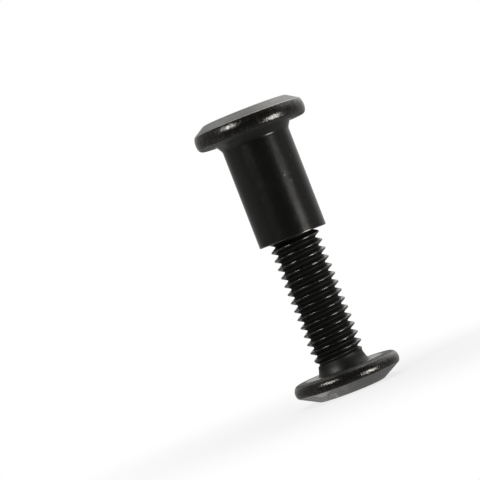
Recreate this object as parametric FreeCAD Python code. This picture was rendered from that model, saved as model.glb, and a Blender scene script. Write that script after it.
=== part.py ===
"""Binding barrel screw: a flat-headed machine screw and the flat-headed barrel nut that it screws into.

All sizes are in millimetres. The origin is the middle of the screw head's flat outer face, and +Z runs
along the common axis through the shank to the nut's head, so the pair stands on the screw's head.
"""
import FreeCAD, Part
import math
import os

from FreeCAD import Vector

# Thread, M6 coarse, right-handed: the shank has its outer diameter, and the bore clears it
thread_diameter = 5.88
thread_clearance = 0.06

# Heads: the screw's is a little narrower than the nut's
nut_head_diameter = 13.0
head_difference = 0.6
screw_head_diameter = nut_head_diameter - head_difference

# Screw: head, plain neck and threaded shank
screw_head_thickness = 2.65
screw_flat_diameter = 7.7
screw_bevel_height = 1.18
screw_rim_crown = 0.3
screw_edge_radius = 0.7
shank_length = 20.0
neck_diameter = 5.3
neck_length = 0.75
flare_reach = 0.07
swell_length = 1.4
tip_chamfer = 0.65

# Barrel nut: head and smooth barrel with a blind threaded bore
nut_head_thickness = 2.7
nut_flat_diameter = 9.86
nut_bevel_height = 0.85
nut_rim_crown = 0.35
nut_edge_radius = 0.6
barrel_wall = 0.95
barrel_length = 12.4
barrel_flare = 0.5
barrel_flare_height = 0.9
mouth_chamfer = 0.15
bore_chamfer = 0.3
bore_bottom_slope = 15.0
web_thickness = 1.0

# Hexagon socket, the same in both heads
socket_flats = 4.0
socket_depth = 2.4
socket_chamfer = 0.15

# How far the shank is screwed into the barrel
engagement = 4.3

# Heights and radii that follow from the sizes above
shank_radius = thread_diameter / 2
neck_radius = neck_diameter / 2
bore_radius = shank_radius + thread_clearance
barrel_radius = bore_radius + barrel_wall
screw_seat_z = screw_head_thickness
tip_z = screw_seat_z + shank_length
mouth_z = tip_z - engagement
nut_seat_z = mouth_z + barrel_length
nut_top_z = nut_seat_z + nut_head_thickness
bore_end_z = nut_top_z - socket_depth - web_thickness


def line(start, end):
    """Straight edge between two (radius, height) points of a half section."""
    return Part.makeLine(Vector(start[0], 0, start[1]), Vector(end[0], 0, end[1]))


def arc(start, middle, end):
    """Circular edge through three (radius, height) points of a half section."""
    return Part.Arc(*[Vector(radius, 0, height) for radius, height in (start, middle, end)]).toShape()


def crown(start, end):
    """Arc of a head's rim, from its crease at start to end, where it runs parallel to the axis."""
    across = end[0] - start[0]
    along = start[1] - end[1]
    radius = (across**2 + along**2) / (2 * across)
    half_turn = math.asin(along / radius) / 2
    middle = (end[0] - radius * (1 - math.cos(half_turn)), end[1] + radius * math.sin(half_turn))
    return arc(start, middle, end)


def quarter_round(rim_radius, seat_z, edge_radius, side):
    """Quarter circle that leads from a head's rim to its seat; side is the seat's side of the rim."""
    reach = edge_radius * math.sqrt(0.5)
    centre_radius = rim_radius - edge_radius
    centre_z = seat_z - side * edge_radius
    middle = (centre_radius + reach, centre_z + side * reach)
    return arc((rim_radius, centre_z), middle, (centre_radius, seat_z))


def flare(start, end):
    """Hollow curve from a head's seat at start to end, where it runs parallel to the axis."""
    poles = [start, (end[0], (start[1] + end[1]) / 2), end]
    curve = Part.BezierCurve()
    curve.setPoles([Vector(radius, 0, height) for radius, height in poles])
    return curve.toShape()


def revolved(edges):
    """Solid of revolution about Z of a half section whose edges run from the axis back to the axis."""
    first = edges[0].Vertexes[0].Point
    last = edges[-1].Vertexes[-1].Point
    wire = Part.Wire(edges + [Part.makeLine(last, first)])
    return Part.Face(wire).revolve(Vector(0, 0, 0), Vector(0, 0, 1), 360)


def head_section(face_z, seat_z, flat_radius, rim_radius, bevel_height, rim_crown, edge_radius):
    """Half section of a head, from the axis at its outer face to the inner end of its rounded seat edge.

    The outer face is flat in the middle, then bevelled. A crease parts the bevel from the crowned rim.
    """
    side = math.copysign(1, seat_z - face_z)
    bevel_z = face_z + side * bevel_height
    bevel_radius = rim_radius - rim_crown
    return [
        line((0, face_z), (flat_radius, face_z)),
        line((flat_radius, face_z), (bevel_radius, bevel_z)),
        crown((bevel_radius, bevel_z), (rim_radius, seat_z - side * edge_radius)),
        quarter_round(rim_radius, seat_z, edge_radius, side),
    ]


def hexagon_socket(face_z, inward):
    """Cutter for a hexagon socket with a chamfered mouth, which enters at face_z in the direction inward."""
    corner_radius = socket_flats / 2 / math.cos(math.pi / 6)
    corners = []
    for corner in range(7):
        angle = math.radians(60 * corner)
        corners.append(Vector(corner_radius * math.cos(angle), corner_radius * math.sin(angle), face_z))
    hexagon = Part.Face(Part.makePolygon(corners)).extrude(Vector(0, 0, inward * socket_depth))
    mouth_radius = corner_radius + socket_chamfer
    flat_radius = socket_flats / 2
    mouth = Part.makeCone(
        mouth_radius, flat_radius, mouth_radius - flat_radius, Vector(0, 0, face_z), Vector(0, 0, inward)
    )
    return hexagon.fuse(mouth)


def screw():
    """Screw: bevelled head with a socket, flared plain neck, and a shank that ends in a chamfered tip.

    The flare's foot reaches past the shank's radius, so a plate that passes over the shank lies on the seat.
    """
    seat_radius = screw_head_diameter / 2 - screw_edge_radius
    flare_radius = shank_radius + flare_reach
    neck_end_z = screw_seat_z + neck_length
    swell_end_z = neck_end_z + swell_length
    tip_radius = shank_radius - tip_chamfer
    head = head_section(
        0,
        screw_seat_z,
        screw_flat_diameter / 2,
        screw_head_diameter / 2,
        screw_bevel_height,
        screw_rim_crown,
        screw_edge_radius,
    )
    shank = [
        line((seat_radius, screw_seat_z), (flare_radius, screw_seat_z)),
        flare((flare_radius, screw_seat_z), (neck_radius, neck_end_z)),
        line((neck_radius, neck_end_z), (shank_radius, swell_end_z)),
        line((shank_radius, swell_end_z), (shank_radius, tip_z - tip_chamfer)),
        line((shank_radius, tip_z - tip_chamfer), (tip_radius, tip_z)),
        line((tip_radius, tip_z), (0, tip_z)),
    ]
    return revolved(head + shank).cut(hexagon_socket(0, 1))


def barrel_nut():
    """Barrel nut: bevelled head with a socket, on a smooth flared barrel with a blind bore from its mouth."""
    seat_radius = nut_head_diameter / 2 - nut_edge_radius
    flare_radius = barrel_radius + barrel_flare
    flare_end_z = nut_seat_z - barrel_flare_height
    lip_radius = barrel_radius - mouth_chamfer
    mouth_radius = bore_radius + bore_chamfer
    bore_wall_z = bore_end_z - bore_radius * math.tan(math.radians(bore_bottom_slope))
    head = head_section(
        nut_top_z,
        nut_seat_z,
        nut_flat_diameter / 2,
        nut_head_diameter / 2,
        nut_bevel_height,
        nut_rim_crown,
        nut_edge_radius,
    )
    barrel = [
        line((seat_radius, nut_seat_z), (flare_radius, nut_seat_z)),
        flare((flare_radius, nut_seat_z), (barrel_radius, flare_end_z)),
        line((barrel_radius, flare_end_z), (barrel_radius, mouth_z + mouth_chamfer)),
        line((barrel_radius, mouth_z + mouth_chamfer), (lip_radius, mouth_z)),
        line((lip_radius, mouth_z), (mouth_radius, mouth_z)),
        line((mouth_radius, mouth_z), (bore_radius, mouth_z + bore_chamfer)),
        line((bore_radius, mouth_z + bore_chamfer), (bore_radius, bore_wall_z)),
        line((bore_radius, bore_wall_z), (0, bore_end_z)),
    ]
    return revolved(head + barrel).cut(hexagon_socket(nut_top_z, -1))


def only_solid(shape):
    """The one solid that a cut leaves."""
    if len(shape.Solids) != 1 or not shape.isValid():
        raise ValueError("the piece isn't one valid solid")
    return shape.Solids[0]


os.makedirs("parts", exist_ok=True)
only_solid(screw()).exportStep("parts/screw.step")
only_solid(barrel_nut()).exportStep("parts/barrel_nut.step")
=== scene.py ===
"""Looks of a binding barrel screw: a flat-headed screw that is partly screwed into a flat-headed barrel nut.

Lengths are in metres. The origin is the middle of the screw head's outer face, and +Z runs along the
common axis to the nut's head. Both pieces are turned about Z, and the thread is swept along it.
"""
import math

import bmesh
import bpy
from bpy.props import FloatProperty, FloatVectorProperty, PointerProperty
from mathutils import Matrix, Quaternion, Vector


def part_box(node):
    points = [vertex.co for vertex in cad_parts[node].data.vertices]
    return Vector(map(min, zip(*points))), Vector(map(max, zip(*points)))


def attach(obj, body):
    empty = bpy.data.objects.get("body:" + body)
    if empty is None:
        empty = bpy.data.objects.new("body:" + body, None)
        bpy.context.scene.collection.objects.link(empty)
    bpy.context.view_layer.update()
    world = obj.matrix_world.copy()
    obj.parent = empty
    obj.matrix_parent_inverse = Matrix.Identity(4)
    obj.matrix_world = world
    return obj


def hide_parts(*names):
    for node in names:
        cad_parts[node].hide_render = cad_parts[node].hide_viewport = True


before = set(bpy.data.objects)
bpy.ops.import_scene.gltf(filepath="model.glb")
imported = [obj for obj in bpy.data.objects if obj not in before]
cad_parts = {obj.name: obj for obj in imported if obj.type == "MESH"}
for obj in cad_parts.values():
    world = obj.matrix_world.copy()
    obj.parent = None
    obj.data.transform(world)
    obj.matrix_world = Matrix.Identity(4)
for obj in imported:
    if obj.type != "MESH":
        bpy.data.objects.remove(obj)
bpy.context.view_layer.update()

bl_info = {
    "name": "Binding Barrel Screw",
    "version": (1, 0, 0),
    "blender": (4, 5, 0),
    "location": "View3D > Sidebar > Barrel Screw",
    "description": "Makes a blackened binding screw and its barrel nut, with their thread and finish",
    "category": "Add Mesh",
}

MM = 0.001
STEPS = 96  # sides of a turned surface, a multiple of six so that the socket's corners fall on them
ARC_STEPS = 8  # parts of an arc in a half section
FLANK_CUTS = 5  # cuts across a thread's flank
SHARP_ANGLE = math.radians(28)  # edges over this are rounded or shaded sharp
MERGE = 0.001 * MM  # points nearer than this are one point
FLARE_CURVE = 1.4  # hollowness of the neck's flare, where 1 is a plain cone
LAMP_DISTANCE = 0.5
OBJECT_MIDDLE = 17 * MM
SENSOR_WIDTH = 36  # in mm, as the lens is
FLOOR_RADIUS = 0.6
FLOOR_GAP = 0.02 * MM  # keeps the floor off the head that stands on it
SHADOW_FADE = (8 * MM, 50 * MM)  # the floor turns plain white between these distances
SHADOW_WHITE = 0.78  # how white the floor is under the object
MATT_LIGHT = (0.35, 0.35, 0.35)  # light of the surroundings on what isn't glossy
BLACK = (0, 0, 0)
WHITE = (1, 1, 1)

# Name, degrees to the right of the camera and over it, size, and the setting that gives the brightness
LAMPS = (
    ("Left lamp", -51, 9, 0.2, "left_lamp"),
    ("Right lamp", 52, 1.5, 0.2, "right_lamp"),
    ("Left bulb", -45, 9, 0.1, "bulbs"),
    ("Right bulb", 52, 1.5, 0.075, "bulbs"),
    ("Top lamp", -150, 60, 0.5, "top_lamp"),
)

# Degrees to the right of the front, height, half width, how much taller than wide, and strength
BARREL_NICKS = (
    (23.6, 25.1 * MM, 0.15 * MM, 0.8, 0.32),
    (26.5, 25.45 * MM, 0.07 * MM, 1, 0.6),
    (32.7, 24.3 * MM, 0.22 * MM, 0.6, 0.28),
    (49.5, 26.85 * MM, 0.17 * MM, 1.2, 0.2),
)
RIM_NICK = (8.5, 31.8 * MM, 0.09 * MM, 8, 0.12)

screw_low, screw_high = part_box("screw")
nut_low, nut_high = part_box("barrel_nut")


# Sizes and colours that a user would change


def length(name, description, millimetres):
    """Length property, whose default is given in millimetres."""
    return FloatProperty(
        name=name,
        description=description,
        default=millimetres * MM,
        unit="LENGTH",
        subtype="DISTANCE",
        precision=5,
    )


def share(name, description, default):
    """Property from 0 to 1."""
    return FloatProperty(name=name, description=description, default=default, min=0, max=1, subtype="FACTOR")


def colour(name, description, default):
    """Colour property."""
    return FloatVectorProperty(
        name=name, description=description, default=default, min=0, max=1, subtype="COLOR"
    )


def brightness(name, description, default):
    """Brightness of a lamp, where 1 looks white."""
    return FloatProperty(name=name, description=description, default=default, min=0)


class ScrewSizes(bpy.types.PropertyGroup):
    """Sizes of the screw that its own box doesn't give"""

    head_thickness: length("Head thickness", "From the head's outer face to its seat", 2.65)
    flat_diameter: length("Flat diameter", "Flat middle of the head's outer face", 7.7)
    bevel_height: length("Bevel height", "Height of the bevel round the outer face", 1.18)
    crown_radius: length("Crown radius", "Radius of the rim's crown in the half section", 1.06)
    widest_height: length("Widest height", "Height of the rim's widest place over the seat", 0.9)
    edge_radius: length("Edge radius", "Radius between the rim and the seat", 0.7)
    crease_round: length("Crease round", "Rounding of the bevel's two edges", 0.1)
    neck_diameter: length("Neck diameter", "Plain neck between the head and the thread", 5.26)
    neck_length: length("Neck length", "Length of the flare from the seat to the neck", 1.2)
    flare_diameter: length("Flare diameter", "Foot of the flare on the seat", 6.02)
    swell_length: length("Swell length", "Length over which the neck grows to the thread's diameter", 0.95)
    tip_chamfer: length("Tip chamfer", "Chamfer at the end of the shank", 0.65)


class NutSizes(bpy.types.PropertyGroup):
    """Sizes of the barrel nut that its own box doesn't give"""

    head_thickness: length("Head thickness", "From the head's outer face to its seat", 2.7)
    flat_diameter: length("Flat diameter", "Flat middle of the head's outer face", 9.86)
    bevel_height: length("Bevel height", "Height of the bevel round the outer face", 0.85)
    crown_radius: length("Crown radius", "Radius of the rim's crown in the half section", 2.0)
    widest_height: length("Widest height", "Height of the rim's widest place over the seat", 0.98)
    edge_radius: length("Edge radius", "Radius between the rim and the seat", 0.6)
    crease_round: length("Crease round", "Rounding of the bevel's two edges", 0.1)
    barrel_diameter: length("Barrel diameter", "Outer diameter of the smooth barrel", 7.9)
    flare_diameter: length("Flare diameter", "Foot of the flare under the head", 8.9)
    flare_height: length("Flare height", "Height of the flare under the head", 0.9)
    lip_round: length("Lip round", "Rounding of the mouth's outer edge", 0.12)
    mouth_diameter: length("Mouth diameter", "Countersink at the mouth of the bore", 6.6)
    bore_depth: length("Bore depth", "Depth of the bore's wall from the mouth", 10.896)
    bore_cone: length("Bore cone", "Height of the shallow cone that closes the bore", 0.804)
    relief: length("Relief", "Bore without thread at its closed end", 0.1)


class ThreadSizes(bpy.types.PropertyGroup):
    """Sizes of the right-handed thread outside the shank and inside the bore"""

    pitch: length("Pitch", "Rise of one turn", 1.0)
    shank_diameter: length("Shank diameter", "Over the crests of the screw", 5.88)
    shank_root: length("Shank root", "Diameter between the screw's turns", 4.654)
    shank_crest: length("Shank crest", "Width of the screw's crests", 0.15)
    bore_diameter: length("Bore diameter", "Between the nut's turns", 6.0)
    bore_crest: length("Bore crest", "Diameter over the nut's crests", 4.917)
    bore_root: length("Bore root", "Width between the nut's turns", 0.125)
    edge_round: length("Edge round", "Rounding of the crests' and roots' edges", 0.045)
    start_height: length("Start height", "Height at which the screw's groove begins, on the +X side", 3.45)
    fade_in: share("Fade in", "Part of a turn over which the screw's groove deepens", 1.0)
    early: share("Early", "Part of a turn by which the groove begins before the +X side", 0.35)


class SocketSizes(bpy.types.PropertyGroup):
    """Sizes of the hexagon socket in both heads"""

    flats: length("Across flats", "Width of the socket between opposite flats", 4.0)
    depth: length("Depth", "Depth of the socket", 2.4)
    mouth_diameter: length("Mouth diameter", "Countersink at the socket's mouth", 4.919)
    edge_round: length("Edge round", "Rounding of the socket's edges", 0.04)


class FinishColours(bpy.types.PropertyGroup):
    """Colours and gloss of the blackened steel"""

    oxide: colour("Oxide", "Black oxide", (0.056, 0.055, 0.052))
    smoky: colour("Smoky oxide", "Paler patches in the oxide", (0.078, 0.077, 0.074))
    worn: colour("Worn edge", "Steel where the oxide has rubbed off", (0.36, 0.335, 0.295))
    roughness: share("Roughness", "Roughness of the barrel and the thread", 0.2)
    rim_roughness: share("Rim roughness", "Roughness of the rims, which the handling has polished", 0.15)
    face_roughness: share("Face roughness", "Roughness of the outer faces, the seats and the neck", 0.34)


class StudioSettings(bpy.types.PropertyGroup):
    """Camera, lamps and floor"""

    camera_distance: length("Camera distance", "From the camera to the common axis", 286)
    camera_height: length("Camera height", "Height of the camera over the floor", 19.5)
    aim_left: length("Aim left", "How far the camera aims to the left of the axis", 5.66)
    aim_height: length("Aim height", "Height over the floor at which the camera aims", 20.1565)
    roll: FloatProperty(
        name="Roll", description="Lean of the camera", default=math.radians(21.226), subtype="ANGLE"
    )
    lens: FloatProperty(name="Lens", description="Focal length in mm on a 36 mm sensor", default=192)
    left_lamp: brightness("Left lamp", "Softbox on the left", 4)
    right_lamp: brightness("Right lamp", "Softbox on the right", 9.5)
    bulbs: brightness("Bulbs", "Extra brightness in the middle of both softboxes", 12)
    top_lamp: brightness("Top lamp", "Broad lamp over the far side", 1.3)
    floor_colour: colour("Floor", "Pale floor", (0.8, 0.8, 0.8))


class BarrelScrewSettings(bpy.types.PropertyGroup):
    """All settings of the binding barrel screw"""

    screw: PointerProperty(type=ScrewSizes)
    nut: PointerProperty(type=NutSizes)
    thread: PointerProperty(type=ThreadSizes)
    socket: PointerProperty(type=SocketSizes)
    finish: PointerProperty(type=FinishColours)
    studio: PointerProperty(type=StudioSettings)


# Turned shapes


class Section:
    """Half section in the XZ plane, drawn from point to point, which is then turned about Z."""

    def __init__(self, bm, radius, height):
        self.bm = bm
        self.last = bm.verts.new((radius, 0, height))
        self.corners = []

    def line(self, radius, height, rounding=0.0):
        """Straight line to a point, which is a corner to round if a rounding is given."""
        point = self.bm.verts.new((radius, 0, height))
        self.bm.edges.new((self.last, point))
        self.last = point
        if rounding:
            self.corners.append((point, rounding))

    def arc(self, radius, height, angle):
        """Arc about a centre, from the last point. A positive angle turns from +X to +Z."""
        turned = bmesh.ops.spin(
            self.bm,
            geom=[self.last],
            cent=(radius, 0, height),
            axis=(0, -1, 0),
            angle=angle,
            steps=ARC_STEPS,
            use_merge=False,
        )
        self.last = turned["geom_last"][0]

    def flare(self, radius, height, straight):
        """Hollow curve to a point, where it runs parallel to the axis.

        straight is the share of its height after which it would turn parallel if it had a corner.
        """
        start = self.last.co.copy()
        end = Vector((radius, 0, height))
        middle = Vector((radius, 0, start.z + straight * (height - start.z)))
        for step in range(1, ARC_STEPS + 1):
            part_done = step / ARC_STEPS
            point = start.lerp(middle, part_done).lerp(middle.lerp(end, part_done), part_done)
            self.line(point.x, point.z)

    def round_corners(self):
        """Rounds the corners that lines left."""
        for point, rounding in self.corners:
            bmesh.ops.bevel(
                self.bm,
                geom=[point],
                offset=rounding,
                offset_type="OFFSET",
                segments=3,
                profile=0.5,
                affect="VERTICES",
                material=-1,
            )

    def turn(self):
        """Rounds the corners and turns the section about Z."""
        self.round_corners()
        wire = [edge for edge in self.bm.edges if edge.is_wire]
        points = {vert for edge in wire for vert in edge.verts}
        bmesh.ops.spin(
            self.bm,
            geom=[*points, *wire],
            cent=(0, 0, 0),
            axis=(0, 0, 1),
            angle=math.tau,
            steps=STEPS,
            use_merge=True,
        )


def head_section(bm, sizes, mouth_radius, rim_radius, face_z, side):
    """Section of a head, from the socket's mouth over the flat, the bevel and the rim to the seat.

    The rim is a crown and an edge round, two arcs that touch. side is 1 where the outer face looks up.
    """
    seat_z = face_z - side * sizes.head_thickness
    crown_centre = rim_radius - sizes.crown_radius
    widest_z = seat_z + side * sizes.widest_height
    inner_radius = sizes.crown_radius - sizes.edge_radius
    touch = math.asin((sizes.widest_height - sizes.edge_radius) / inner_radius)
    crown_height = sizes.head_thickness - sizes.bevel_height - sizes.widest_height
    crease = math.asin(crown_height / sizes.crown_radius)
    section = Section(bm, mouth_radius, face_z)
    section.line(sizes.flat_diameter / 2, face_z, sizes.crease_round)
    section.line(
        crown_centre + sizes.crown_radius * math.cos(crease),
        widest_z + side * sizes.crown_radius * math.sin(crease),
        sizes.crease_round,
    )
    section.arc(crown_centre, widest_z, -side * (crease + touch))
    edge_centre = crown_centre + inner_radius * math.cos(touch)
    section.arc(edge_centre, seat_z + side * sizes.edge_radius, -side * (math.pi / 2 - touch))
    section.line(sizes.flare_diameter / 2, seat_z)
    return section


def thread_section(bm, outer_radius, outer_width, inner_radius, rounding, pitch, middle_z):
    """One pitch of a thread's section with 60 degree flanks.

    Its ends are outermost, over outer_width between two turns, and its middle is innermost.
    """
    half = pitch / 2
    flank_height = (outer_radius - inner_radius) * math.tan(math.pi / 6)
    outer_end = half - outer_width / 2
    inner_end = outer_end - flank_height
    section = Section(bm, outer_radius, middle_z - half)
    section.line(outer_radius, middle_z - outer_end, rounding)
    section.line(inner_radius, middle_z - inner_end, rounding)
    section.line(inner_radius, middle_z + inner_end, rounding)
    section.line(outer_radius, middle_z + outer_end, rounding)
    section.line(outer_radius, middle_z + half)
    section.round_corners()
    flanks = [edge for edge in bm.edges if edge.calc_length() > flank_height]
    bmesh.ops.subdivide_edges(bm, edges=flanks, cuts=FLANK_CUTS)


def sweep_thread(bm, pitch, turns, low, high, radius_at):
    """Sweeps the wire section in bm along the helix, and keeps what lies between the heights low and high.

    radius_at gives a point's radius from the radius that was swept, its turn about Z, its height and that
    height kept between low and high. At low and high it gives one radius all round, so that the points
    beyond them gather into a plain ring.
    """
    bmesh.ops.spin(
        bm,
        geom=[*bm.verts, *bm.edges],
        cent=(0, 0, 0),
        axis=(0, 0, 1),
        dvec=(0, 0, pitch / STEPS),
        angle=math.tau,
        steps=STEPS,
        use_merge=False,
    )
    turn = [*bm.verts, *bm.edges, *bm.faces]
    for number in range(1, turns):
        copied = bmesh.ops.duplicate(bm, geom=turn)["geom"]
        points = [item for item in copied if isinstance(item, bmesh.types.BMVert)]
        bmesh.ops.translate(bm, verts=points, vec=(0, 0, pitch * number))
    for vert in bm.verts:
        step = round(math.atan2(vert.co.y, vert.co.x) / math.tau * STEPS) % STEPS
        kept_height = min(max(vert.co.z, low), high)
        radius = radius_at(vert.co.xy.length, step / STEPS, vert.co.z, kept_height)
        angle = math.tau * step / STEPS
        vert.co = (radius * math.cos(angle), radius * math.sin(angle), kept_height)
    bmesh.ops.remove_doubles(bm, verts=bm.verts, dist=MERGE)


def join(bm, part):
    """Moves all of part into bm."""
    mesh = bpy.data.meshes.new("Part")
    part.to_mesh(mesh)
    part.free()
    bm.from_mesh(mesh)
    bpy.data.meshes.remove(mesh)


def radius_on(knots, height):
    """Radius at a height on an outline of straight runs through (height, radius) knots."""
    for (low, low_radius), (high, high_radius) in zip(knots, knots[1:]):
        if height <= high:
            along = max(0, (height - low) / (high - low))
            return low_radius + along * (high_radius - low_radius)
    return knots[-1][1]


def new_points(made):
    """Points of an extrusion's result."""
    return [item for item in made["geom"] if isinstance(item, bmesh.types.BMVert)]


def new_edges(made):
    """Edges of an extrusion's result that are still open."""
    return [item for item in made["geom"] if isinstance(item, bmesh.types.BMEdge)]


def cut_socket(bm, socket, face_z, inward):
    """Closes a head's flat with a hexagon socket. Its chamfered mouth starts at the open edge at face_z."""
    mouth_radius = socket.mouth_diameter / 2
    rim = [edge for edge in bm.edges if edge.is_boundary and abs(edge.verts[0].co.z - face_z) < MERGE]
    chamfer = bmesh.ops.extrude_edge_only(bm, edges=rim)
    for vert in new_points(chamfer):
        angle = math.atan2(vert.co.y, vert.co.x)
        from_flat = angle % (math.pi / 3) - math.pi / 6
        radius = socket.flats / 2 / math.cos(from_flat)
        depth = mouth_radius - radius
        vert.co = (radius * math.cos(angle), radius * math.sin(angle), face_z + inward * depth)
    walls = bmesh.ops.extrude_edge_only(bm, edges=new_edges(chamfer))
    floor_z = face_z + inward * socket.depth
    for vert in new_points(walls):
        vert.co.z = floor_z
    floor = bmesh.ops.extrude_edge_only(bm, edges=new_edges(walls))
    bmesh.ops.pointmerge(bm, verts=new_points(floor), merge_co=(0, 0, floor_z))
    sharp = [
        edge
        for edge in bm.edges
        if edge.is_manifold
        and all(vert.co.xy.length < mouth_radius + MERGE for vert in edge.verts)
        and all(-MERGE < (vert.co.z - face_z) * inward < socket.depth + MERGE for vert in edge.verts)
        and edge.calc_face_angle() > SHARP_ANGLE
    ]
    bmesh.ops.bevel(
        bm,
        geom=sharp,
        offset=socket.edge_round,
        offset_type="OFFSET",
        segments=2,
        profile=0.5,
        affect="EDGES",
        clamp_overlap=True,
        material=-1,
    )


def add_piece(bm, name, node, body, material):
    """Makes the finished bmesh a piece that stands for a CAD node and rides on its body."""
    bmesh.ops.remove_doubles(bm, verts=bm.verts, dist=MERGE)
    bmesh.ops.recalc_face_normals(bm, faces=bm.faces)
    open_edges = sum(not edge.is_manifold for edge in bm.edges)
    if open_edges:
        raise RuntimeError(f"{name} has {open_edges} open edges")
    mesh = bpy.data.meshes.new(name)
    bm.to_mesh(mesh)
    bm.free()
    mesh.shade_smooth()
    mesh.set_sharp_from_angle(angle=SHARP_ANGLE)
    mesh.materials.append(material)
    piece = bpy.data.objects.new(name, mesh)
    bpy.context.scene.collection.objects.link(piece)
    weighted = piece.modifiers.new("Even shading", "WEIGHTED_NORMAL")
    weighted.keep_sharp = True
    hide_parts(node)
    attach(piece, body)


def screw_shape(settings):
    """Bmesh of the screw: threaded shank, plain neck and head."""
    sizes = settings.screw
    thread = settings.thread
    tip_z = screw_high.z
    seat_z = screw_low.z + sizes.head_thickness
    neck_end = seat_z + sizes.neck_length
    neck_radius = sizes.neck_diameter / 2
    flare_reach = sizes.flare_diameter / 2 - neck_radius
    crest = thread.shank_diameter / 2
    tip_radius = crest - sizes.tip_chamfer
    flare = []
    for step in range(1, ARC_STEPS):
        part_done = step / ARC_STEPS
        radius = neck_radius + flare_reach * (1 - part_done) ** FLARE_CURVE
        flare.append((seat_z + part_done * sizes.neck_length, radius))
    blank = [
        *flare,
        (neck_end, neck_radius),
        (neck_end + sizes.swell_length, crest),
        (tip_z - sizes.tip_chamfer, crest),
        (tip_z, tip_radius),
    ]
    foot_z, foot_radius = flare[0]

    def radius_at(swept_radius, turn, height, kept_height):
        """The groove deepens over fade_in turns from its start, and the blank's outline cuts the crests."""
        groove = round((height - thread.start_height) / thread.pitch - turn)
        begun = (groove + turn + thread.early) / thread.fade_in
        depth = (crest - swept_radius) * min(max(begun, 0), 1)
        outline = radius_on(blank, kept_height)
        return min(crest - depth, outline) if depth > 0 else outline

    bm = bmesh.new()
    head = head_section(bm, sizes, settings.socket.mouth_diameter / 2, screw_high.x, screw_low.z, -1)
    head.line(foot_radius, foot_z)
    head.turn()
    cut_socket(bm, settings.socket, screw_low.z, 1)
    tip = Section(bm, tip_radius, tip_z)
    tip.line(0, tip_z)
    tip.turn()

    shank = bmesh.new()
    first_z = thread.start_height - 2 * thread.pitch
    thread_section(
        shank, crest, thread.shank_crest, thread.shank_root / 2, thread.edge_round, thread.pitch, first_z
    )
    turns = math.ceil((tip_z - first_z) / thread.pitch) + 1
    sweep_thread(shank, thread.pitch, turns, foot_z, tip_z, radius_at)
    join(bm, shank)
    return bm


def nut_shape(settings):
    """Bmesh of the barrel nut: head, smooth barrel and threaded blind bore."""
    sizes = settings.nut
    thread = settings.thread
    mouth_z = nut_low.z
    face_z = nut_high.z
    seat_z = face_z - sizes.head_thickness
    barrel_radius = sizes.barrel_diameter / 2
    mouth_radius = sizes.mouth_diameter / 2
    bore_radius = thread.bore_diameter / 2
    crest = thread.bore_crest / 2
    wall_end = mouth_z + sizes.bore_depth
    relief_z = wall_end - sizes.relief
    cutter = [
        (mouth_z, mouth_radius),
        (mouth_z + mouth_radius - crest, crest),
        (relief_z - (bore_radius - crest), crest),
        (relief_z, bore_radius),
    ]

    def radius_at(swept_radius, turn, height, kept_height):
        """The countersink and the relief at the closed end cut the ridges away."""
        return max(swept_radius, radius_on(cutter, kept_height))

    bm = bmesh.new()
    outside = head_section(bm, sizes, settings.socket.mouth_diameter / 2, nut_high.x, face_z, 1)
    outside.flare(barrel_radius, seat_z - sizes.flare_height, straight=0.78)
    outside.line(barrel_radius, mouth_z, sizes.lip_round)
    outside.line(mouth_radius, mouth_z)
    outside.turn()
    cut_socket(bm, settings.socket, face_z, -1)
    bottom = Section(bm, bore_radius, wall_end)
    bottom.line(0, wall_end + sizes.bore_cone)
    bottom.turn()

    bore = bmesh.new()
    turns_up = math.floor((mouth_z - thread.start_height) / thread.pitch) - 1
    first_z = thread.start_height + turns_up * thread.pitch
    thread_section(bore, bore_radius, thread.bore_root, crest, thread.edge_round, thread.pitch, first_z)
    turns = math.ceil((wall_end - first_z) / thread.pitch) + 1
    sweep_thread(bore, thread.pitch, turns, mouth_z, wall_end, radius_at)
    join(bm, bore)
    return bm


# Finish

HEAD_FADE = (4.4 * MM, 4.8 * MM)  # radii between which the barrel or the neck gives way to the head
SEAT_FADE = (0.05 * MM, 0.3 * MM)  # heights over the seat between which it gives way to the rim
CREASE_BLUR = 0.05 * MM
FLAT_BLUR = 0.2 * MM
ZONE_BLUR = 0.15 * MM
FLAT_DULLNESS = 3.0  # of the flat face and the seat, where the bevel's is 1
FLARE_DULLNESS = 1.4

RUB_CORE = 0.02 * MM
RUB_REACH = 0.14 * MM
CREST_FADE = (0.09 * MM, 0.02 * MM)  # depths under the crest between which the rubbing begins
CREST_WEAR = 0.55
# Painted shade on the thread's roots and the neck: its strength on the neck, how far it darkens the colour,
# and the roughness it adds
NECK_SHADE = 0.8
SHADE_DARKNESS = 0.5
SHADE_ROUGHNESS = 0.2
SMEAR_ROUGHNESS = 0.06
METALLIC = 0.95  # a little under 1, for the oxide's own sheen

# Each mark fades in between two values of the noise that it is read from, up to its strength
PATCH_SIZE = 1.6 * MM  # clouds in the oxide
SMOKY_FADE = (0.45, 1.0)
STREAK_SMOKE = 0.6  # what a turning line adds to the clouds
SMEAR_SIZE = 0.5 * MM  # uneven rubbing and gloss
RUBBED_FADE = (0.72, 1.0)
RUBBED_STRENGTH = 0.5
SPECKLE_FADE = (0.47, 0.62)
SPECKLE_STRENGTH = 0.2
STAIN_SIZE = 1.5 * MM
STAIN_EDGE = 0.47  # value of the noise on the stains' outlines
STAIN_FULL = 0.55
STAIN_STRENGTH = 0.42
EDGE_FADE = (0.03, 0.01)  # how far from the outline's value the dark edges fade in
EDGE_STRENGTH = 0.6
LINE_SIZE = 0.26 * MM  # spacing of the turning lines
STREAK_FADE = (0.38, 0.62)

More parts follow.
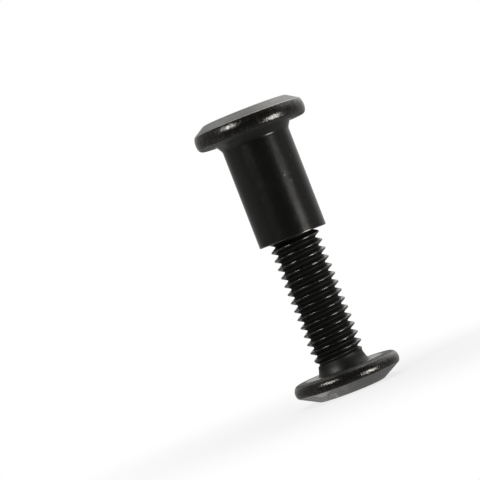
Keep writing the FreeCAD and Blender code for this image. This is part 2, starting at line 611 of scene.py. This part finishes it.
WAVE_SIZE = 1.1 * MM
WAVE_DEPTH = 0.004 * MM
GRAIN_SIZE = 0.09 * MM
GRAIN_DEPTH = 0.0008 * MM
PEBBLE_SIZE = 0.18 * MM
PEBBLE_DEPTH = 0.028 * MM
LEAST_PEBBLES = 0.1  # share of the pebbles' depth away from the rim
STREAK_DEPTH = 0.007 * MM
NICK_DEPTH = 0.02 * MM


class Nodes:
    """Short calls that add nodes to a tree. A value is a number, or a socket to link from."""

    def __init__(self, tree):
        self.tree = tree
        tree.nodes.clear()

    def add(self, kind, inputs=(), **settings):
        """Adds a node, sets its properties, and fills its inputs by name or place."""
        node = self.tree.nodes.new(kind)
        for name, value in settings.items():
            setattr(node, name, value)
        for name, value in dict(inputs).items():
            if isinstance(value, bpy.types.NodeSocket):
                self.tree.links.new(value, node.inputs[name])
            else:
                node.inputs[name].default_value = value
        return node

    def math(self, operation, first, second=0.0):
        """Result of a Math node."""
        return self.add("ShaderNodeMath", {0: first, 1: second}, operation=operation).outputs[0]

    def times(self, first, *others):
        """Product of values."""
        for other in others:
            first = self.math("MULTIPLY", first, other)
        return first

    def plus(self, first, *others):
        """Sum of values."""
        for other in others:
            first = self.math("ADD", first, other)
        return first

    def minus(self, first, second):
        """First value less the second."""
        return self.math("SUBTRACT", first, second)

    def larger(self, first, second):
        """Larger one of two values."""
        return self.math("MAXIMUM", first, second)

    def length(self, vector):
        """Length of a vector."""
        return self.add("ShaderNodeVectorMath", {0: vector}, operation="LENGTH").outputs["Value"]

    def noise(self, place, size, detail=2.0, roughness=0.5):
        """Noise from 0 to 1 whose patches are about size across."""
        inputs = {"Vector": place, "Scale": 1 / size, "Detail": detail, "Roughness": roughness}
        return self.add("ShaderNodeTexNoise", inputs).outputs["Fac"]

    def fade(self, value, start, end, low=0.0, high=1.0):
        """Smooth step from low to high as value goes from start to end."""
        inputs = {"Value": value, "From Min": start, "From Max": end, "To Min": low, "To Max": high}
        return self.add("ShaderNodeMapRange", inputs, interpolation_type="SMOOTHSTEP").outputs[0]

    def mix(self, share_of_second, first, second):
        """Colour mix."""
        node = self.add("ShaderNodeMix", data_type="RGBA")
        self.fill(node.inputs[0], share_of_second)
        self.fill(node.inputs[6], first)
        self.fill(node.inputs[7], second)
        return node.outputs[2]

    def fill(self, socket, value):
        """Links or sets one socket. A colour gets its alpha."""
        if isinstance(value, bpy.types.NodeSocket):
            self.tree.links.new(value, socket)
        elif isinstance(value, (int, float)):
            socket.default_value = value
        else:
            socket.default_value = (*value[:3], 1)

    def bump(self, height, depth, below=None):
        """Normal of a height from 0 to 1 that is depth deep, laid over another normal."""
        inputs = {"Height": height, "Distance": depth, "Strength": 1.0}
        if below is not None:
            inputs["Normal"] = below
        return self.add("ShaderNodeBump", inputs).outputs[0]


class OxideCoat:
    """Blackened steel of one piece, in zones told by the radius and height about the common axis.

    The bevel and the outer face lie past crease_z on the given side, and the rim between it and the seat.
    """

    def __init__(self, name, finish, crease_z, side, seat_z, flat_radius):
        self.material = bpy.data.materials.new(name)
        self.material.use_nodes = True
        self.nodes = nodes = Nodes(self.material.node_tree)
        self.finish = finish
        self.flat_radius = flat_radius
        self.place = nodes.add("ShaderNodeTexCoord").outputs["Object"]
        self.parts = nodes.add("ShaderNodeSeparateXYZ", {0: self.place}).outputs
        level = nodes.add("ShaderNodeCombineXYZ", {0: self.parts[0], 1: self.parts[1]}).outputs[0]
        self.radius = nodes.length(level)
        self.height = self.parts[2]
        past_crease = nodes.times(nodes.minus(self.height, crease_z), side)
        past_seat = nodes.times(nodes.minus(self.height, seat_z), side)
        head = nodes.fade(self.radius, *HEAD_FADE)
        over_seat = nodes.times(head, nodes.fade(past_seat, *SEAT_FADE))
        seat = nodes.minus(head, over_seat)
        self.face = nodes.fade(past_crease, -CREASE_BLUR, CREASE_BLUR)
        self.rim = nodes.times(over_seat, nodes.minus(1.0, self.face))
        self.turned = nodes.larger(self.face, seat)
        flat = nodes.times(self.face, nodes.fade(self.radius, flat_radius, flat_radius - FLAT_BLUR))
        self.dull = nodes.larger(self.face, nodes.times(nodes.larger(flat, seat), FLAT_DULLNESS))
        self.wear = 0.0
        self.painted_shade = 0.0
        self.stained = 0.0

    def rub_ring(self, radius, height, strength=1.0):
        """Rubs the oxide thin along a ring."""
        nodes = self.nodes
        away = nodes.minus(self.radius, radius)
        along = nodes.minus(self.height, height)
        distance = nodes.length(nodes.add("ShaderNodeCombineXYZ", {0: away, 1: along}).outputs[0])
        self.wear = nodes.larger(self.wear, nodes.fade(distance, RUB_REACH, RUB_CORE, 0.0, strength))

    def rub_crests(self, crest_radius, low, high):
        """Rubs the oxide thin on a thread's crests between two heights."""
        nodes = self.nodes
        start, end = CREST_FADE
        outer = nodes.fade(self.radius, crest_radius - start, crest_radius - end)
        inside = nodes.fade(self.radius, crest_radius + 0.2 * MM, crest_radius + 0.1 * MM)
        below = nodes.fade(self.height, high + 0.2 * MM, high)
        above = nodes.fade(self.height, low, low + 0.8 * MM, 0.0, CREST_WEAR)
        self.wear = nodes.larger(self.wear, nodes.times(outer, inside, below, above))

    def within(self, radius, strength):
        """Strength nearer the axis than a radius, and 0 farther away."""
        return self.nodes.fade(self.radius, radius + ZONE_BLUR, radius - ZONE_BLUR, 0.0, strength)

    def dull_within(self, radius, strength):
        """Dulls what the rubbing can't reach, nearer the axis than a radius."""
        self.dull = self.nodes.larger(self.dull, self.within(radius, strength))

    def dull_flare(self, radius, top):
        """Dulls what lies nearer the axis than a radius and under the height at which the flare ends."""
        nodes = self.nodes
        below = nodes.fade(self.height, top + 0.1 * MM, top)
        self.dull = nodes.larger(self.dull, nodes.times(self.within(radius, FLARE_DULLNESS), below))

    def paint_root_shade(self, root_radius, above):
        """Paints shade into a thread's recessed roots over a height, by darkening their colour."""
        nodes = self.nodes
        roots = nodes.fade(self.radius, root_radius + 0.3 * MM, root_radius + 0.08 * MM)
        self.painted_shade = nodes.times(roots, nodes.fade(self.height, above, above + 0.3 * MM))

    def paint_neck_shade(self, radius, low, high):
        """Paints shade onto the neck and its flare under the head, between two heights, by darkening their
        colour.
        """
        nodes = self.nodes
        above = nodes.fade(self.height, low + 0.2 * MM, low + 0.9 * MM)
        below = nodes.fade(self.height, high + 0.3 * MM, high - 0.3 * MM)
        self.painted_shade = nodes.larger(self.painted_shade, nodes.times(self.within(radius, NECK_SHADE), above, below))

    def stain_bevel(self):
        """Marks the left front of the bevel for pale stains that have dark edges."""
        nodes = self.nodes
        left = nodes.fade(self.parts[0], 0.0, -2.0 * MM)
        front = nodes.fade(self.parts[1], -0.3 * MM, -1.8 * MM)
        bevel = nodes.fade(self.radius, self.flat_radius, self.flat_radius + 0.3 * MM)
        self.stained = nodes.times(self.face, bevel, left, front)

    def nick_share(self, smears, nicks):
        """How much of each place the nicks have bared."""
        nodes = self.nodes
        bared = 0.0
        for radius, degrees, height, half_width, taller, strength in nicks:
            angle = math.radians(degrees)
            middle = Vector((radius * math.sin(angle), -radius * math.cos(angle), height))
            offset = nodes.add("ShaderNodeVectorMath", {0: self.place, 1: middle}, operation="SUBTRACT")
            squeezed = {0: offset.outputs[0], 1: (1, 1, 1 / taller)}
            offset = nodes.add("ShaderNodeVectorMath", squeezed, operation="MULTIPLY")
            ragged = nodes.times(nodes.length(offset.outputs[0]), nodes.plus(smears, 0.5))
            nick = nodes.fade(ragged, half_width, 0.4 * half_width, 0.0, strength)
            bared = nodes.larger(bared, nick)
        return bared

    def colour(self, smears, streaks, pebbles, bared):
        """Base colour: cloudy oxide, rubbed thin in places, then nicked and stained, and darkened by painted
        shade in the thread's roots and at the neck.
        """
        nodes = self.nodes
        finish = self.finish
        patches = nodes.noise(self.place, PATCH_SIZE, 4, 0.6)
        smoky = nodes.fade(nodes.plus(patches, nodes.times(streaks, STREAK_SMOKE)), *SMOKY_FADE)
        worn = nodes.plus(nodes.times(self.wear, 0.5), smears)
        rubbed = nodes.fade(worn, *RUBBED_FADE, 0.0, RUBBED_STRENGTH)
        speckles = nodes.times(self.rim, nodes.fade(pebbles, *SPECKLE_FADE, 0.0, SPECKLE_STRENGTH))
        base = nodes.mix(smoky, finish.oxide, finish.smoky)
        base = nodes.mix(nodes.larger(rubbed, speckles), base, finish.worn)
        base = nodes.mix(bared, base, finish.worn)

        stains = nodes.noise(self.place, STAIN_SIZE, 4, 0.6)
        pale = nodes.times(self.stained, nodes.fade(stains, STAIN_EDGE, STAIN_FULL, 0.0, STAIN_STRENGTH))
        from_edge = nodes.math("ABSOLUTE", nodes.minus(stains, STAIN_EDGE))
        edge = nodes.times(self.stained, nodes.fade(from_edge, *EDGE_FADE, 0.0, EDGE_STRENGTH))
        base = nodes.mix(pale, base, finish.worn)
        # The stains' dark edges, and painted shade that darkens the thread's roots and the neck
        return nodes.mix(nodes.larger(edge, nodes.times(self.painted_shade, SHADE_DARKNESS)), base, BLACK)

    def roughness(self, smears):
        """Roughness: the rims polished, the faces and what nothing reaches duller, all of it smeared."""
        nodes = self.nodes
        finish = self.finish
        rough = nodes.fade(self.rim, 0.0, 1.0, finish.roughness, finish.rim_roughness)
        duller = nodes.times(self.dull, nodes.minus(finish.face_roughness, rough))
        smeared = nodes.fade(smears, 0.4, 0.8, 0.0, SMEAR_ROUGHNESS)
        # Where shade is painted, the surface is rougher too
        return nodes.plus(rough, duller, smeared, nodes.times(self.painted_shade, SHADE_ROUGHNESS))

    def finished(self, stretch, nicks=()):
        """Links the shader and gives the material.

        stretch is how much taller than wide the rim's pebbles are. nicks are small marks: for each the
        radius of the surface that it is on, and then what a row of BARREL_NICKS says.
        """
        nodes = self.nodes
        smears = nodes.noise(self.place, SMEAR_SIZE, 5, 0.7)
        grain = nodes.noise(self.place, GRAIN_SIZE, 2)
        waves = nodes.noise(self.place, WAVE_SIZE, 1)
        squeezed = {"Vector": self.place, "Scale": (1, 1, 1 / stretch)}
        upright = nodes.add("ShaderNodeMapping", squeezed).outputs[0]
        pebbles = nodes.noise(upright, PEBBLE_SIZE, 2, 0.65)
        section = nodes.add("ShaderNodeCombineXYZ", {0: self.radius, 1: self.height}).outputs[0]
        lines = nodes.noise(section, LINE_SIZE, 3, 0.7)
        streaks = nodes.times(self.turned, nodes.fade(lines, *STREAK_FADE))
        bared = self.nick_share(smears, nicks)

        normal = nodes.bump(waves, WAVE_DEPTH)
        normal = nodes.bump(grain, GRAIN_DEPTH, normal)
        pebbled = nodes.larger(self.rim, LEAST_PEBBLES)
        normal = nodes.bump(nodes.times(pebbles, pebbled), PEBBLE_DEPTH, normal)
        normal = nodes.bump(streaks, STREAK_DEPTH, normal)
        if nicks:
            normal = nodes.bump(bared, NICK_DEPTH, normal)

        inputs = {
            "Base Color": self.colour(smears, streaks, pebbles, bared),
            "Metallic": METALLIC,
            "Roughness": self.roughness(smears),
            "Normal": normal,
        }
        shader = nodes.add("ShaderNodeBsdfPrincipled", inputs)
        nodes.add("ShaderNodeOutputMaterial", {"Surface": shader.outputs[0]})
        return self.material


# Floor, lamps, world and camera


def camera_turn(studio, place):
    """Rotation of the camera that stands at place and aims beside the axis, leaning by its roll."""
    aim = Vector((-studio.aim_left, 0, studio.aim_height))
    level = (aim - place).to_track_quat("-Z", "Y")
    return level @ Quaternion((0, 0, 1), -studio.roll)


def add_camera(studio):
    """Camera at the photograph's viewing angle."""
    place = Vector((0, -studio.camera_distance, studio.camera_height))
    data = bpy.data.cameras.new("Camera")
    data.lens = studio.lens
    data.sensor_width = SENSOR_WIDTH
    data.clip_start = 0.01
    data.clip_end = 20
    camera = bpy.data.objects.new("Camera", data)
    camera.location = place
    camera.rotation_mode = "QUATERNION"
    camera.rotation_quaternion = camera_turn(studio, place)
    bpy.context.scene.collection.objects.link(camera)
    bpy.context.scene.camera = camera
    return camera


def add_lamp(name, camera, azimuth, elevation, size, level):
    """Soft square lamp that faces the object.

    Its azimuth to the right and its elevation are told from where the leaning camera stands.
    """
    turn = camera.rotation_quaternion
    direction = Vector(
        (
            math.cos(elevation) * math.sin(azimuth),
            math.sin(elevation),
            math.cos(elevation) * math.cos(azimuth),
        )
    )
    away = turn @ direction
    data = bpy.data.lights.new(name, "AREA")
    data.shape = "SQUARE"
    data.size = size
    data.energy = level * math.pi * size * size
    lamp = bpy.data.objects.new(name, data)
    lamp.location = Vector((0, 0, OBJECT_MIDDLE)) + away * LAMP_DISTANCE
    lamp.rotation_mode = "QUATERNION"
    lamp.rotation_quaternion = away.to_track_quat("Z", "Y")
    lamp.visible_camera = False
    bpy.context.scene.collection.objects.link(lamp)


def add_floor(studio):
    """Pale floor that fades into the white background, and keeps the object's shadow."""
    bm = bmesh.new()
    bmesh.ops.create_circle(bm, cap_ends=True, radius=FLOOR_RADIUS, segments=STEPS)
    mesh = bpy.data.meshes.new("Floor")
    bm.to_mesh(mesh)
    bm.free()
    material = bpy.data.materials.new("Pale floor")
    material.use_nodes = True
    nodes = Nodes(material.node_tree)
    place = nodes.add("ShaderNodeTexCoord").outputs["Object"]
    away = nodes.length(place)
    white = nodes.times(white_share(nodes), nodes.fade(away, *SHADOW_FADE, SHADOW_WHITE, 1.0))
    matt = nodes.add("ShaderNodeBsdfDiffuse", {"Color": (*studio.floor_colour, 1)})
    glow = nodes.add("ShaderNodeEmission", {"Color": (*WHITE, 1), "Strength": 1.0})
    both = nodes.add("ShaderNodeMixShader", {0: white, 1: matt.outputs[0], 2: glow.outputs[0]})
    nodes.add("ShaderNodeOutputMaterial", {"Surface": both.outputs[0]})
    mesh.materials.append(material)
    floor = bpy.data.objects.new("Floor", mesh)
    floor.location.z = -FLOOR_GAP
    floor.visible_glossy = False
    floor.visible_shadow = False
    bpy.context.scene.collection.objects.link(floor)


def white_share(nodes):
    """1 for what is seen straight on, in a reflection or through glass, and 0 for what only lights."""
    ray = nodes.add("ShaderNodeLightPath").outputs
    seen = nodes.plus(ray["Is Camera Ray"], ray["Is Glossy Ray"], ray["Is Transmission Ray"])
    return nodes.math("MINIMUM", seen, 1.0)


def mirrored_room(nodes):
    """Brightness of the room that gloss mirrors, by direction: dim on the camera's side, bright behind.

    The parts of a direction run from -1 to 1, to the right, away from the camera and up.
    """
    direction = nodes.add("ShaderNodeTexCoord").outputs["Generated"]
    right, away, up = nodes.add("ShaderNodeSeparateXYZ", {0: direction}).outputs
    room = nodes.fade(away, -0.9, 0.1, 0.04, 0.24)
    floor_glow = nodes.fade(up, -0.1, -0.5, 0.0, 0.06)
    wall = nodes.fade(away, 0.2, 0.75, 0.0, 0.6)
    wall_light = nodes.times(nodes.fade(right, -0.7, 0.0, 0.2, 1.0), nodes.fade(up, -0.35, 0.4, 0.1, 1.0))
    low_light = nodes.fade(up, -0.3, -0.7, 0.0, nodes.fade(right, -0.15, 0.3, 1.6, 0.25))
    upper_right = nodes.times(
        nodes.fade(up, 0.05, 0.5),
        nodes.fade(right, 0.05, 0.3, 0.0, 0.75),
        nodes.fade(away, -0.45, 0.0),
    )
    behind = nodes.times(wall, nodes.plus(wall_light, low_light))
    return nodes.plus(behind, room, floor_glow, upper_right)


def set_world():
    """White background for the camera, grey light for matt surfaces, and a room for gloss to mirror."""
    world = bpy.data.worlds.new("Studio")
    world.use_nodes = True
    bpy.context.scene.world = world
    nodes = Nodes(world.node_tree)
    ray = nodes.add("ShaderNodeLightPath").outputs
    seen = nodes.math("MINIMUM", nodes.plus(ray["Is Camera Ray"], ray["Is Transmission Ray"]), 1.0)
    matt = nodes.mix(ray["Is Glossy Ray"], MATT_LIGHT, BLACK)
    glossy = nodes.times(ray["Is Glossy Ray"], mirrored_room(nodes))
    light = nodes.add("ShaderNodeMix", data_type="RGBA", blend_type="ADD")
    nodes.fill(light.inputs[0], 1.0)
    nodes.fill(light.inputs[6], matt)
    nodes.fill(light.inputs[7], glossy)
    final = nodes.mix(seen, light.outputs[2], WHITE)
    background = nodes.add("ShaderNodeBackground", {"Color": final, "Strength": 1.0})
    nodes.add("ShaderNodeOutputWorld", {"Surface": background.outputs[0]})


# Operators and panel

SCREW_CREASE_INSET = 0.17 * MM  # from the rim's widest place in to the crease
NUT_CREASE_INSET = 0.2 * MM
ROOT_ZONE = 2.7 * MM  # the neck and the thread's roots lie within this radius
FLARE_ZONE = 3.3 * MM
NECK_ZONE = 3.1 * MM
BORE_ZONE = 3.15 * MM


class MakeScrew(bpy.types.Operator):
    """Makes the blackened screw with its thread"""

    bl_idname = "barrel_screw.make_screw"
    bl_label = "Make Screw"

    def execute(self, context):
        settings = context.scene.barrel_screw
        sizes = settings.screw
        thread = settings.thread
        crease_z = screw_low.z + sizes.bevel_height
        seat_z = screw_low.z + sizes.head_thickness
        neck_end = seat_z + sizes.neck_length
        flat_radius = sizes.flat_diameter / 2
        coat = OxideCoat("Screw black oxide", settings.finish, crease_z, -1, seat_z, flat_radius)
        coat.rub_ring(screw_high.x - SCREW_CREASE_INSET, crease_z)
        coat.rub_ring(flat_radius, screw_low.z)
        coat.rub_crests(thread.shank_diameter / 2, neck_end, screw_high.z)
        coat.dull_within(ROOT_ZONE, strength=1.9)
        coat.dull_flare(FLARE_ZONE, neck_end)
        # Painted shade: darkens the thread's roots and the neck under the head
        coat.paint_root_shade(thread.shank_root / 2, above=seat_z + 1.5 * MM)
        coat.paint_neck_shade(NECK_ZONE, seat_z, neck_end)
        coat.stain_bevel()
        material = coat.finished(stretch=1.4)
        add_piece(screw_shape(settings), "screw_visual", "screw", "screw", material)
        return {"FINISHED"}


class MakeBarrelNut(bpy.types.Operator):
    """Makes the blackened barrel nut with its bore"""

    bl_idname = "barrel_screw.make_barrel_nut"
    bl_label = "Make Barrel Nut"

    def execute(self, context):
        settings = context.scene.barrel_screw
        sizes = settings.nut
        crease_z = nut_high.z - sizes.bevel_height
        seat_z = nut_high.z - sizes.head_thickness
        barrel_radius = sizes.barrel_diameter / 2
        flat_radius = sizes.flat_diameter / 2
        coat = OxideCoat("Barrel black oxide", settings.finish, crease_z, 1, seat_z, flat_radius)
        coat.rub_ring(nut_high.x - NUT_CREASE_INSET, crease_z)
        coat.rub_ring(flat_radius, nut_high.z)
        coat.rub_ring(barrel_radius, nut_low.z, strength=1.7)
        coat.rub_ring(sizes.mouth_diameter / 2, nut_low.z)
        coat.dull_within(BORE_ZONE, strength=1.0)
        nicks = [(barrel_radius, *nick) for nick in BARREL_NICKS]
        nicks.append((nut_high.x, *RIM_NICK))
        material = coat.finished(stretch=2.5, nicks=nicks)
        shape = nut_shape(settings)
        add_piece(shape, "barrel_nut_visual", "barrel_nut", "barrel_nut", material)
        return {"FINISHED"}


class SetStage(bpy.types.Operator):
    """Sets the floor, the lamps, the white background and the camera"""

    bl_idname = "barrel_screw.set_stage"
    bl_label = "Set Stage"

    def execute(self, context):
        studio = context.scene.barrel_screw.studio
        camera = add_camera(studio)
        for name, azimuth, elevation, size, setting in LAMPS:
            level = getattr(studio, setting)
            add_lamp(name, camera, math.radians(azimuth), math.radians(elevation), size, level)
        add_floor(studio)
        set_world()
        context.scene.view_settings.view_transform = "Standard"
        return {"FINISHED"}


class BarrelScrewPanel(bpy.types.Panel):
    """Settings and operators of the binding barrel screw"""

    bl_idname = "VIEW3D_PT_barrel_screw"
    bl_label = "Binding Barrel Screw"
    bl_space_type = "VIEW_3D"
    bl_region_type = "UI"
    bl_category = "Barrel Screw"

    def draw(self, context):
        settings = context.scene.barrel_screw
        groups = (
            settings.screw,
            settings.nut,
            settings.thread,
            settings.socket,
            settings.finish,
            settings.studio,
        )
        for group in groups:
            box = self.layout.box()
            for name in group.bl_rna.properties.keys():
                if name not in ("rna_type", "name"):
                    box.prop(group, name)
        for operator in OPERATORS:
            self.layout.operator(operator.bl_idname)


OPERATORS = (MakeScrew, MakeBarrelNut, SetStage)
CLASSES = (
    ScrewSizes,
    NutSizes,
    ThreadSizes,
    SocketSizes,
    FinishColours,
    StudioSettings,
    BarrelScrewSettings,
    *OPERATORS,
    BarrelScrewPanel,
)


def register():
    """Registers the classes and puts the settings on the scene."""
    for cls in CLASSES:
        bpy.utils.register_class(cls)
    bpy.types.Scene.barrel_screw = PointerProperty(type=BarrelScrewSettings)


def unregister():
    """Takes the settings off the scene and unregisters the classes."""
    del bpy.types.Scene.barrel_screw
    for cls in reversed(CLASSES):
        bpy.utils.unregister_class(cls)


def main():
    register()
    bpy.ops.barrel_screw.make_screw()
    bpy.ops.barrel_screw.make_barrel_nut()
    bpy.ops.barrel_screw.set_stage()


if __name__ == "__main__":
    main()
